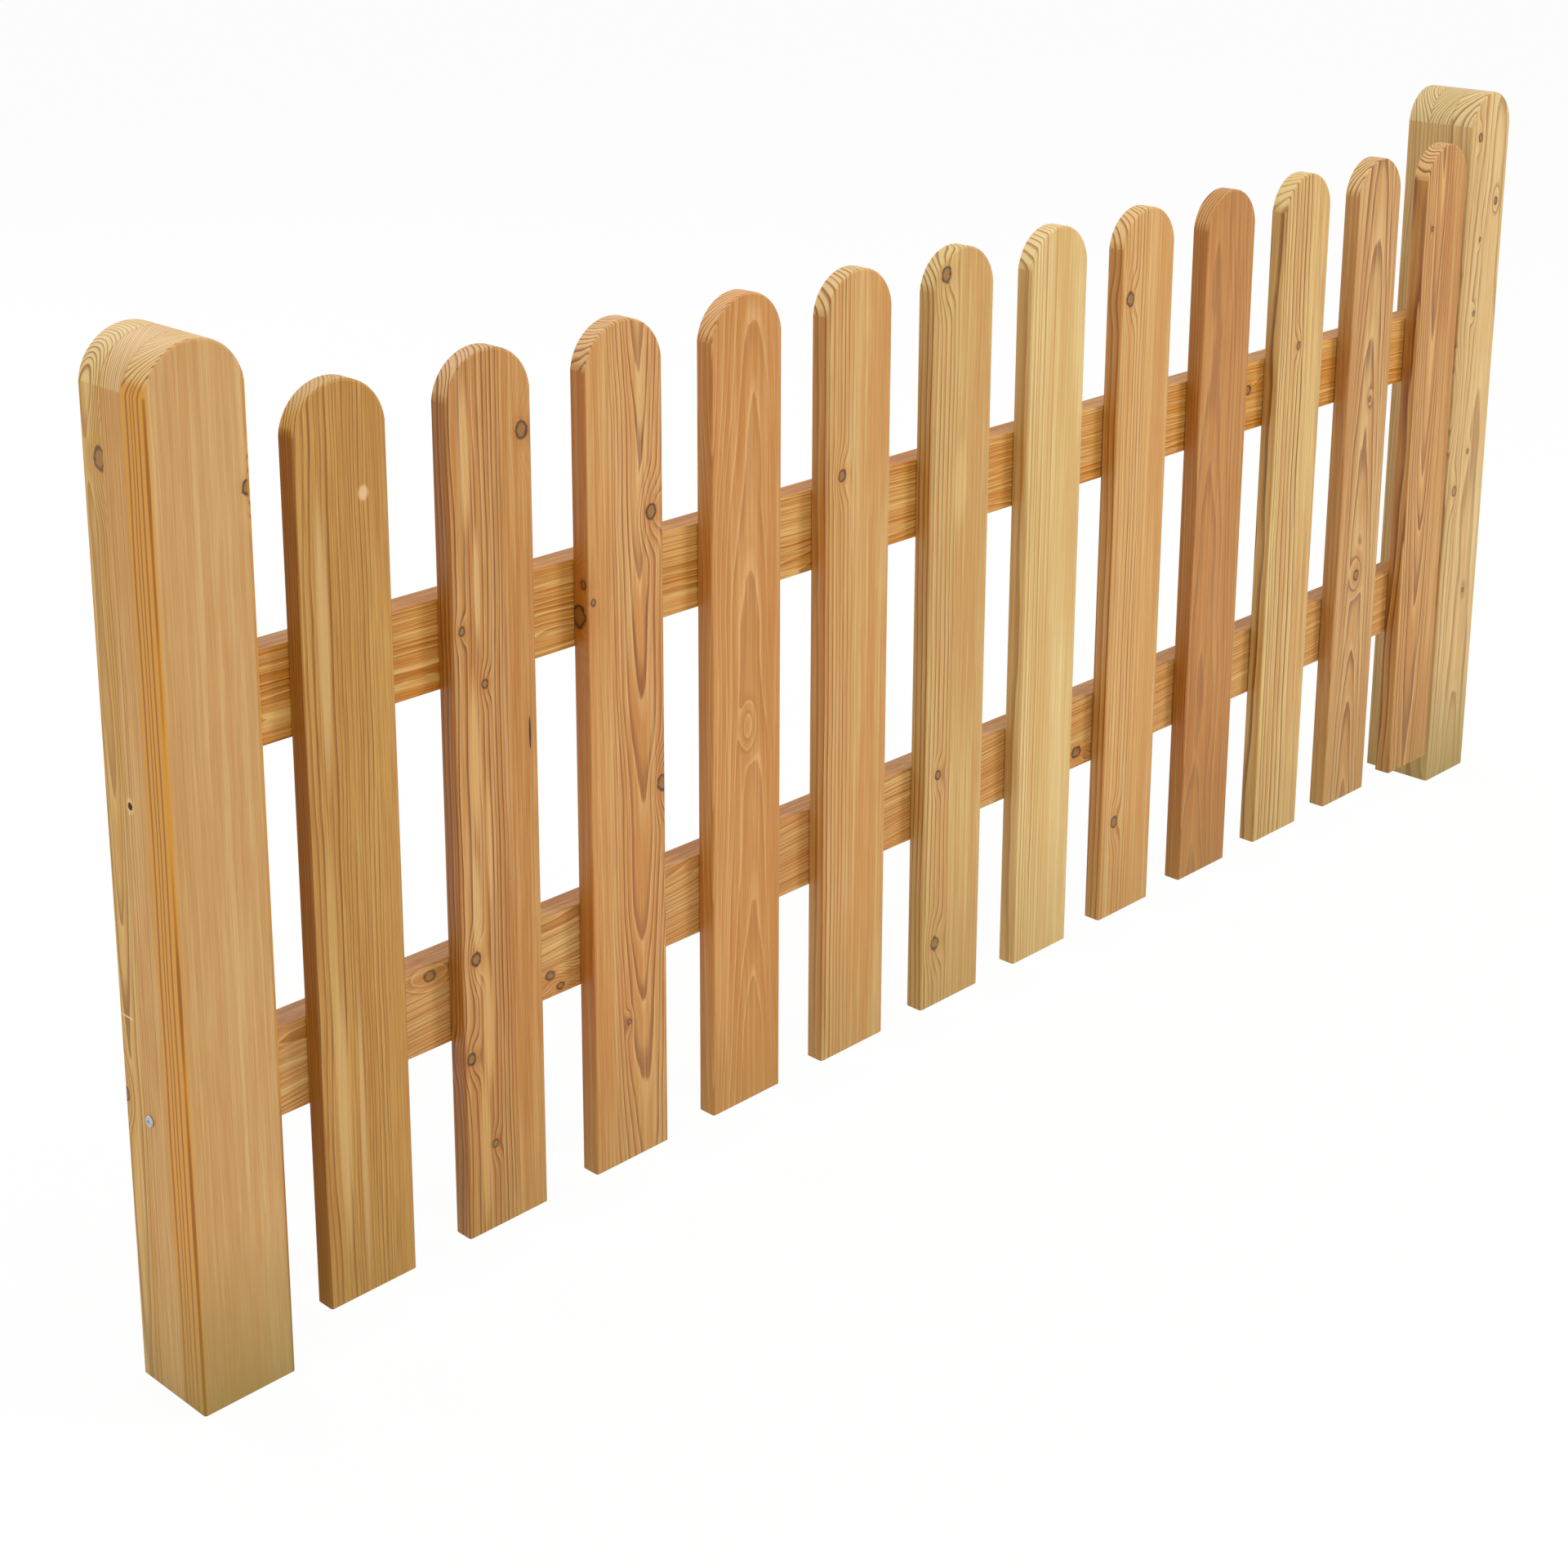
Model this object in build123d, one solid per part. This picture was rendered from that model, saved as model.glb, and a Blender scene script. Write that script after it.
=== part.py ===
"""Garden fence panel: twelve round-topped pickets on two rails between two glued laminated posts.

Millimetres, +Z up. X runs along the fence from the left post to the right post, and the
pickets' side faces -Y. The origin is the middle of the left post's foot.
"""
from build123d import *
import os

# Panel
PANEL_LENGTH = 1800.0
PICKET_COUNT = 12
RAIL_COUNT = 2
PANEL_GROUND_GAP = 50.0
PANEL_SETBACK = -14.0

# Pickets
PICKET_WIDTH = 90.0
PICKET_THICKNESS = 20.0
PICKET_HEIGHT = 800.0
PICKET_ARCH_RISE = 40.0
PICKET_EASE = 2.5

# Rails
RAIL_HEIGHT = 80.0
RAIL_THICKNESS = 28.0
BOTTOM_RAIL_LEVEL = 185.0
TOP_RAIL_LEVEL = 510.0
RAIL_EASE = 1.5

# Posts
POST_WIDTH = 90.0
LAMELLA_THICKNESS = 30.0
LAMELLA_NAMES = ("front", "middle", "rear")
POST_HEIGHT = 900.0
POST_ARCH_RISE = 40.0
POST_EASE = 2.5

# Countersunk screws that hold the pickets from behind
PICKET_SCREWS_PER_JOINT = 2
PICKET_SCREW_LENGTH = 42.0
PICKET_SCREW_RADIUS = 2.0
PICKET_SCREW_HEAD_RADIUS = 4.0
PICKET_SCREW_HEAD_HEIGHT = 3.0
PICKET_SCREW_INSET = 22.0
SCREW_CLEARANCE = 0.2

# Pan-head screw and empty bore in the left post's outer face
SIDE_SCREW_LEVEL = 249.0
SIDE_SCREW_LENGTH = 60.0
SIDE_SCREW_RADIUS = 3.0
SIDE_SCREW_HEAD_RADIUS = 5.0
SIDE_SCREW_HEAD_HEIGHT = 2.5
SIDE_BORE_LEVEL = 523.0
SIDE_BORE_RADIUS = 3.0
SIDE_BORE_DEPTH = 40.0
SIDE_FIXING_SHIFT = 9.0

# Places that follow from the sizes above
POST_DEPTH = LAMELLA_THICKNESS * len(LAMELLA_NAMES)
POST_SPACING = PANEL_LENGTH + POST_WIDTH
RAIL_START = POST_WIDTH / 2
PICKET_PITCH = PANEL_LENGTH / PICKET_COUNT
PICKET_FRONT = PANEL_SETBACK - POST_DEPTH / 2
PICKET_BACK = PICKET_FRONT + PICKET_THICKNESS
RAIL_BACK = PICKET_BACK + RAIL_THICKNESS
RAIL_LEVELS = (PANEL_GROUND_GAP + BOTTOM_RAIL_LEVEL, PANEL_GROUND_GAP + TOP_RAIL_LEVEL)
RAIL_NAMES = ("bottom_rail", "top_rail")


def round_topped_face(width, height, rise):
    """An upright board outline whose top is one arch."""
    half = width / 2
    spring = height - rise
    with BuildSketch(Plane.XZ) as sketch:
        with BuildLine():
            Polyline((-half, spring), (-half, 0), (half, 0), (half, spring))
            ThreePointArc((half, spring), (0, height), (-half, spring))
        make_face()
    return sketch.sketch


def outline_edges(body, level):
    """The edges of the flat face at one Y, apart from the one at the foot."""
    face_edges = body.edges().filter_by_position(Axis.Y, level, level)
    return face_edges.filter_by(lambda edge: edge.bounding_box().max.Z > PICKET_EASE)


def round_topped_board(width, height, rise, thickness, eased_levels, ease):
    """A board that stands on Z = 0 from Y = 0 to Y = thickness, with the outlines at some levels rounded over."""
    board = extrude(round_topped_face(width, height, rise), -thickness)
    eased_edges = [edge for level in eased_levels for edge in outline_edges(board, level)]
    if eased_edges:
        board = fillet(eased_edges, ease)
    return board


def picket_centre(index):
    """The X of a picket's middle."""
    return RAIL_START + PICKET_PITCH * (index + 0.5)


def joint_places(index):
    """The X and Z of each screw that holds one picket."""
    places = []
    for level in RAIL_LEVELS:
        reach = PICKET_WIDTH / 2 - PICKET_SCREW_INSET
        low = (picket_centre(index) - reach, level + PICKET_SCREW_INSET)
        high = (picket_centre(index) + reach, level + RAIL_HEIGHT - PICKET_SCREW_INSET)
        places.append((low, high)[:PICKET_SCREWS_PER_JOINT])
    return places


def screw(length, radius, head_radius, head_height):
    """A countersunk screw along +Y whose flat head lies on Y = 0."""
    shank = Cylinder(radius, length, align=(Align.CENTER, Align.CENTER, Align.MIN))
    head = Cone(head_radius, radius, head_height, align=(Align.CENTER, Align.CENTER, Align.MIN))
    return Rot(-90, 0, 0) * (shank + head)


def picket_screw(place, clearance):
    """One screw at its place, driven from the rail's back towards the pickets."""
    body = screw(
        PICKET_SCREW_LENGTH + clearance,
        PICKET_SCREW_RADIUS + clearance,
        PICKET_SCREW_HEAD_RADIUS + clearance,
        PICKET_SCREW_HEAD_HEIGHT,
    )
    return Pos(place[0], RAIL_BACK, place[1]) * Rot(0, 0, 180) * body


def picket_blank():
    """The board that every picket is made from."""
    faces = (0, PICKET_THICKNESS)
    return round_topped_board(
        PICKET_WIDTH, PICKET_HEIGHT, PICKET_ARCH_RISE, PICKET_THICKNESS, faces, PICKET_EASE
    )


def make_picket(index, blank):
    """One picket, with the blind holes of its screws."""
    board = Pos(picket_centre(index), PICKET_FRONT, PANEL_GROUND_GAP) * blank
    holes = []
    for places in joint_places(index):
        holes.extend(picket_screw(place, SCREW_CLEARANCE) for place in places)
    return board - holes


def make_rail(row):
    """One rail, cut between the posts' inner faces, with its countersunk screw holes."""
    rail = Box(PANEL_LENGTH, RAIL_THICKNESS, RAIL_HEIGHT, align=(Align.MIN, Align.MIN, Align.MIN))
    rail = fillet(rail.edges().filter_by(Axis.X), RAIL_EASE)
    rail = Pos(RAIL_START, PICKET_BACK, RAIL_LEVELS[row]) * rail
    holes = []
    for index in range(PICKET_COUNT):
        for place in joint_places(index)[row]:
            holes.append(picket_screw(place, SCREW_CLEARANCE))
    return rail - holes


def make_screws(row):
    """All the picket screws of one rail."""
    screws = []
    for index in range(PICKET_COUNT):
        for place in joint_places(index)[row]:
            screws.append(picket_screw(place, 0))
    return Compound(children=screws)


def side_fixing_place(level):
    """The place on the left post's outer face of something bored at one level."""
    return Pos(-POST_WIDTH / 2, SIDE_FIXING_SHIFT, level)


def side_screw():
    """The pan-head screw in the left post's outer face."""
    shank = Cylinder(SIDE_SCREW_RADIUS, SIDE_SCREW_LENGTH, align=(Align.CENTER, Align.CENTER, Align.MIN))
    head = Cylinder(SIDE_SCREW_HEAD_RADIUS, SIDE_SCREW_HEAD_HEIGHT, align=(Align.CENTER, Align.CENTER, Align.MAX))
    rim = head.edges().filter_by(GeomType.CIRCLE).sort_by(Axis.Z)[0]
    head = fillet(rim, SIDE_SCREW_HEAD_HEIGHT / 2)
    return side_fixing_place(SIDE_SCREW_LEVEL) * Rot(0, 90, 0) * (shank + head)


def side_bore(level, radius, depth):
    """A round bore into the left post's outer face."""
    bore = Cylinder(radius, depth, align=(Align.CENTER, Align.CENTER, Align.MIN))
    return side_fixing_place(level) * Rot(0, 90, 0) * bore


def make_lamella(place, centre):
    """One of the boards that a post is glued up from, counted from the front."""
    faces = []
    if place == 0:
        faces.append(0)
    if place == len(LAMELLA_NAMES) - 1:
        faces.append(LAMELLA_THICKNESS)
    board = round_topped_board(
        POST_WIDTH, POST_HEIGHT, POST_ARCH_RISE, LAMELLA_THICKNESS, faces, POST_EASE
    )
    return Pos(centre, place * LAMELLA_THICKNESS - POST_DEPTH / 2, 0) * board


def make_all():
    """Every piece by its name."""
    pieces = {}
    for side, centre in (("left", 0.0), ("right", POST_SPACING)):
        for place, name in enumerate(LAMELLA_NAMES):
            pieces[f"{side}_post_{name}_lamella"] = make_lamella(place, centre)
    drilled = "left_post_middle_lamella"
    screw_hole_radius = SIDE_SCREW_RADIUS + SCREW_CLEARANCE
    screw_hole_depth = SIDE_SCREW_LENGTH + SCREW_CLEARANCE
    pieces[drilled] -= side_bore(SIDE_SCREW_LEVEL, screw_hole_radius, screw_hole_depth)
    pieces[drilled] -= side_bore(SIDE_BORE_LEVEL, SIDE_BORE_RADIUS, SIDE_BORE_DEPTH)
    pieces["left_post_side_screw"] = side_screw()
    for row, name in enumerate(RAIL_NAMES):
        pieces[name] = make_rail(row)
        pieces[f"{name}_screws"] = make_screws(row)
    blank = picket_blank()
    for index in range(PICKET_COUNT):
        pieces[f"picket_{index + 1:02d}"] = make_picket(index, blank)
    return pieces


os.makedirs("parts", exist_ok=True)
for piece_name, piece in make_all().items():
    export_step(piece, f"parts/{piece_name}.step")
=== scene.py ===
"""Looks for a larch garden fence panel: procedural timber, zinc screws, a pale stage and its light."""

import math
from types import SimpleNamespace

import bmesh
import bpy
from mathutils import Euler, Matrix, Vector


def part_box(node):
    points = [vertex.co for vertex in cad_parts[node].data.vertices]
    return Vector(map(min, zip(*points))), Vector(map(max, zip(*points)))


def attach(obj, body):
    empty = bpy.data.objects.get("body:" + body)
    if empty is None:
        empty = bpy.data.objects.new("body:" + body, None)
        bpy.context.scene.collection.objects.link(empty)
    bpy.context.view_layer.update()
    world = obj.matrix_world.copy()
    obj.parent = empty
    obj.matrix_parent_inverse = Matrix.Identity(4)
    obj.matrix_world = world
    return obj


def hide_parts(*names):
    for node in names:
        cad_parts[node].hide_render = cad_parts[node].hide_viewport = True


bl_info = {
    "name": "Larch Fence Panel",
    "version": (1, 0, 0),
    "blender": (4, 5, 0),
    "location": "3D View > Sidebar > Fence",
    "description": "Dresses a picket fence panel in planed larch and sets up its stage",
    "category": "Object",
}

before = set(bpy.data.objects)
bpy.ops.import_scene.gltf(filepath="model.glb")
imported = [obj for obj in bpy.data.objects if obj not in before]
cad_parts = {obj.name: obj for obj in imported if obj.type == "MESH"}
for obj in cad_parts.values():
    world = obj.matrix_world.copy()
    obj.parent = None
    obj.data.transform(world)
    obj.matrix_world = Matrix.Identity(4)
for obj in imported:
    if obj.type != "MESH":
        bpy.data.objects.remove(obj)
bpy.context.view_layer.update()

MM = 0.001
IOR_TIMBER = 1.5
WHITE = (1.0, 1.0, 1.0, 1.0)


# Colours and nodes

def linear(code, alpha=1.0):
    """An sRGB hex code as a linear colour."""
    parts = [int(code[i : i + 2], 16) / 255 for i in (1, 3, 5)]
    return (*[c / 12.92 if c <= 0.04045 else ((c + 0.055) / 1.055) ** 2.4 for c in parts], alpha)


def add(tree, kind, *values, **settings):
    """Adds a node with its settings.

    Values fill its live inputs in order, or a dictionary fills them by name. A value is a number, a colour,
    a socket, or a node that stands for its first live output.
    """
    node = tree.nodes.new(kind if hasattr(bpy.types, kind) else "ShaderNode" + kind)
    for key, value in settings.items():
        setattr(node, key, value)
    live = [one for one in node.inputs if one.enabled]
    if values and isinstance(values[0], dict):
        pairs = [(node.inputs[key], value) for key, value in values[0].items()]
    else:
        pairs = zip(live, values)
    for socket, value in pairs:
        if isinstance(value, bpy.types.Node):
            value = next(one for one in value.outputs if one.enabled)
        if isinstance(value, bpy.types.NodeSocket):
            tree.links.new(value, socket)
        else:
            socket.default_value = value
    return node


def new_group(name, kind, inputs, outputs):
    """An empty node group. Inputs are name and default, outputs are names of number sockets."""
    group = bpy.data.node_groups.new(name, kind)
    for label, default in inputs.items():
        socket_type = "NodeSocketVector" if isinstance(default, tuple) else "NodeSocketFloat"
        group.interface.new_socket(label, in_out="INPUT", socket_type=socket_type).default_value = default
    for label in outputs:
        group.interface.new_socket(label, in_out="OUTPUT", socket_type="NodeSocketFloat")
    return group, group.nodes.new("NodeGroupInput").outputs


def new_material(name):
    """A material and its tree, which is empty."""
    material = bpy.data.materials.new(name)
    material.use_nodes = True
    material.node_tree.nodes.clear()
    return material, material.node_tree


# Timber, as three groups that every board shares. A place is across, through and along the board, in mm.

# Sizes of the timber's noises in mm, across and along the board
DRIFT = (90.0, 260.0)
RIPPLE = (14.0, 90.0)
FIBRE = (0.9, 60.0)
CLOUD = (34.0, 420.0)
STREAK = (4.5, 260.0)
KNOT_EDGE = (5.0, 5.0)

# Shares of one ring's width: where its latewood darkens and stops, and where its pale inner line fades
LATE_RISE = (0.5, 0.9)
LATE_STOP = (1.0, 0.95)
EARLY_FADE = (0.3, 0.02)

# How far the pith and the ripples stray for each mm of wobble, how much the rings differ in width, and how
# fast that changes from ring to ring
PITH_WANDER = 4.0
RIPPLE_WANDER = 0.55
RING_UNEVEN = 0.95
RING_CHANGE = 0.45

# A knot is a little taller than wide, and bends the rings farther along the board than across it
KNOT_SHAPE = (1.0, 0.0, 0.8)
BEND_SHAPE = (1.0, 0.0, 0.42)
# Where a knot fades and is whole, in mm below its face
KNOT_DEPTH = (22.0, 8.0)
# Shares of a knot's radius: its ragged edge, how much it bends the rings, and where the bend, the core and
# the halo start and are full
KNOT_RAGGED = 0.8
BEND_MOST = 1.5
BEND_EDGE = (4.2, 0.0)
CORE_EDGE = (1.05, 0.85)
HALO_EDGE = (3.0, 0.9)
# The rim's width: a share of the radius, and some mm more
RIM_WIDTH = (0.22, 0.9)


def grain_noise(tree, place, seed, size, stretch, detail=2.0, roughness=0.5):
    """A noise whose blots are size mm across the board and stretch mm along it."""
    shift = add(tree, "CombineXYZ", 0.0, 0.0, seed)
    scale = (1 / size, 1 / size, 1 / stretch)
    vector = add(tree, "VectorMath", place, scale, shift, operation="MULTIPLY_ADD")
    return add(tree, "TexNoise", vector, 1.0, detail, roughness)


def make_knot_group():
    """One knot: how far it bends the rings round it, and where its core, rim and halo are.

    Place is across and along the face that shows the knot, and its Y is the depth below that face.
    """
    inputs = {"Place": (0.0, 0.0, 0.0), "Centre": (0.0, 0.0, 0.0), "Radius": 5.0, "Strength": 1.0}
    group, ins = new_group("Knot", "ShaderNodeTree", inputs, ("Bulge", "Core", "Rim", "Halo"))
    radius, strength = ins["Radius"], ins["Strength"]
    depth = add(group, "SeparateXYZ", ins["Place"]).outputs["Y"]
    near = add(group, "MapRange", depth, *KNOT_DEPTH, interpolation_type="SMOOTHSTEP")
    offset = add(group, "VectorMath", ins["Place"], ins["Centre"], operation="SUBTRACT")
    ragged = grain_noise(group, ins["Place"], radius, *KNOT_EDGE)
    ragged = add(group, "Math", ragged, 0.5, operation="SUBTRACT")
    swing = add(group, "Math", radius, KNOT_RAGGED, operation="MULTIPLY")
    tight = add(group, "VectorMath", offset, KNOT_SHAPE, operation="MULTIPLY")
    distance = add(group, "VectorMath", tight, operation="LENGTH")
    distance = add(group, "Math", ragged, swing, distance, operation="MULTIPLY_ADD")
    share = add(group, "Math", distance, radius, operation="DIVIDE")
    loose = add(group, "VectorMath", offset, BEND_SHAPE, operation="MULTIPLY")
    reach = add(group, "VectorMath", loose, operation="LENGTH")
    reach = add(group, "Math", reach, radius, operation="DIVIDE")
    fall = add(group, "MapRange", reach, *BEND_EDGE, 0.0, BEND_MOST, interpolation_type="SMOOTHERSTEP")
    bulge = add(group, "Math", fall, radius, operation="MULTIPLY")
    core = add(group, "MapRange", share, *CORE_EDGE, 0.0, strength, interpolation_type="SMOOTHSTEP")
    off = add(group, "Math", distance, radius, operation="SUBTRACT")
    off = add(group, "Math", off, operation="ABSOLUTE")
    width = add(group, "Math", radius, *RIM_WIDTH, operation="MULTIPLY_ADD")
    rim = add(group, "MapRange", off, width, 0.0, 0.0, strength, interpolation_type="SMOOTHSTEP")
    halo = add(group, "MapRange", share, *HALO_EDGE, 0.0, strength, interpolation_type="SMOOTHSTEP")
    ends = [add(group, "Math", one, near, operation="MULTIPLY") for one in (bulge, core, rim, halo)]
    add(group, "NodeGroupOutput", *ends)
    return group


def make_ring_group():
    """Growth rings round a pith that wanders along the board, cut by whatever surface shows them."""
    inputs = {
        "Place": (0.0, 0.0, 0.0), "Pith": (0.0, 60.0, 0.0), "Lean": (0.0, 0.0, 0.0),
        "Wobble": 3.0, "Ring": 3.0, "Bulge": 0.0, "Seed": 0.0,
    }
    outputs = ("Latewood", "Earlywood", "Ring Tone", "Fibre", "Broad", "Fine")
    group, ins = new_group("Growth rings", "ShaderNodeTree", inputs, outputs)
    place, seed = ins["Place"], ins["Seed"]
    slow = grain_noise(group, place, seed, *DRIFT, 1.5).outputs["Color"]
    slow = add(group, "VectorMath", slow, (0.5, 0.5, 0.5), operation="SUBTRACT")
    reach = add(group, "Math", ins["Wobble"], PITH_WANDER, operation="MULTIPLY")
    drift = add(group, "VectorMath", slow, reach, operation="SCALE")
    along = add(group, "SeparateXYZ", place).outputs["Z"]
    pith = add(group, "VectorMath", ins["Lean"], along, operation="SCALE")
    pith = add(group, "VectorMath", pith, ins["Pith"], operation="ADD")
    offset = add(group, "VectorMath", place, pith, operation="SUBTRACT")
    offset = add(group, "VectorMath", offset, drift, operation="ADD")
    flat = add(group, "VectorMath", offset, (1.0, 1.0, 0.0), operation="MULTIPLY")
    radius = add(group, "VectorMath", flat, operation="LENGTH")
    ripple = add(group, "Math", grain_noise(group, place, seed, *RIPPLE), 0.5, operation="SUBTRACT")
    height = add(group, "Math", ins["Wobble"], RIPPLE_WANDER, operation="MULTIPLY")
    radius = add(group, "Math", ripple, height, radius, operation="MULTIPLY_ADD")
    radius = add(group, "Math", radius, ins["Bulge"], operation="ADD")
    count = add(group, "Math", radius, ins["Ring"], operation="DIVIDE")
    slot = add(group, "Math", count, RING_CHANGE, seed, operation="MULTIPLY_ADD")
    uneven = add(group, "TexNoise", slot, 1.0, 1.0, 0.5, noise_dimensions="1D")
    count = add(group, "Math", uneven, RING_UNEVEN, count, operation="MULTIPLY_ADD")
    part = add(group, "Math", count, operation="FRACT")
    rise = add(group, "MapRange", part, *LATE_RISE, interpolation_type="SMOOTHSTEP")
    stop = add(group, "MapRange", part, *LATE_STOP, interpolation_type="SMOOTHSTEP")
    late = add(group, "Math", rise, stop, operation="MULTIPLY")
    early = add(group, "MapRange", part, *EARLY_FADE, interpolation_type="SMOOTHSTEP")
    number = add(group, "Math", count, operation="FLOOR")
    number = add(group, "Math", number, seed, operation="ADD")
    tone = add(group, "TexWhiteNoise", number, noise_dimensions="1D")
    fibre = grain_noise(group, place, seed, *FIBRE, 3.0, 0.6)
    broad = grain_noise(group, place, seed, *CLOUD)
    fine = grain_noise(group, place, seed, *STREAK)
    add(group, "NodeGroupOutput", late, early, tone, fibre, broad, fine)
    return group


def make_mark_group():
    """A soft-edged oval on one face, such as a pale streak, a filled spot or the painted shade of a crack.
    """
    inputs = {
        "Place": (0.0, 0.0, 0.0), "Centre": (0.0, 0.0, 0.0), "Size": (1.0, 1.0, 1.0), "Softness": 0.3,
        "Fine": 0.5, "Strength": 1.0,
    }
    group, ins = new_group("Mark", "ShaderNodeTree", inputs, ("Share",))
    offset = add(group, "VectorMath", ins["Place"], ins["Centre"], operation="SUBTRACT")
    offset = add(group, "VectorMath", offset, (1.0, 0.0, 1.0), operation="MULTIPLY")
    offset = add(group, "VectorMath", offset, ins["Size"], operation="DIVIDE")
    reach = add(group, "VectorMath", offset, operation="LENGTH")
    edge = add(group, "Math", reach, 1.0, operation="SUBTRACT")
    edge = add(group, "Math", edge, ins["Softness"], operation="DIVIDE")
    edge = add(group, "Math", edge, ins["Fine"], operation="ADD")
    edge = add(group, "Math", edge, 0.5, operation="SUBTRACT")
    share = add(group, "MapRange", edge, 1.0, -1.0, 0.0, ins["Strength"], interpolation_type="SMOOTHSTEP")
    add(group, "NodeGroupOutput", share)
    return group


# Boards. Measures are in mm: across a board from its middle line, and heights above the ground. On a rail
# they are up from its middle line, and along it from the left post's middle. A knot is (across, height,
# radius, strength), and one of strength 0 only bends the rings. A mark is (across, height, half width, half
# height, colour, strength, softness). Side ones lie on a board's left edge, and their first number is
# measured through it. Real rings of larch are 1 to 4 mm wide. On boards far from the camera they are up to
# 6 mm wide here, as coarse as they need to be to show.

PLAIN = {
    # Colours of the wood between the rings, the rings, the warm clouds and the pale ones. The end grain has
    # its own pale colour where cut is set, and the board's edges their own wood and rings where band is.
    "early": "#d8ab70", "late": "#a66a30", "warm": "#b9793c", "pale": "#d8b478", "cut": None, "band": None,
    # The pith across and through the board, how far it moves for each mm of height, how the rings slant to
    # a rail, how wide and how wavy they are, and where the noises start
    "pith": (0.0, 70.0), "lean": (0.0, 0.0), "slant": 0.0, "ring": 3.0, "wobble": 3.0, "seed": 1.0,
    # Strength of the rings and of their pale inner lines, the share of it on the end grain and on the front,
    # and the stretches from where the rings are full to where they fade
    "contrast": 0.75, "pale_lines": 0.3, "cut_lines": 1.0, "front": 1.0, "plain": (),
    # Strength of the warm clouds, the pale clouds, the streaks and the fibres
    "warmth": 0.35, "paleness": 0.35, "streaks": 0.35, "fibre": 0.22,
    # Painted shade on the edges from this far off the middle line, its strength and tone, and at the foot
    "edge_shade_from": 43.0, "edge_shade": 0.0, "edge_shade_tone": "#d2b48e", "foot_shade": 0.0,
    "knots": (), "side_knots": (), "marks": (), "side_marks": (),
}

# What every picket has instead: painted shade on its edges and at its foot
PICKET = {"edge_shade": 0.45, "foot_shade": 0.4}

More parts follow.
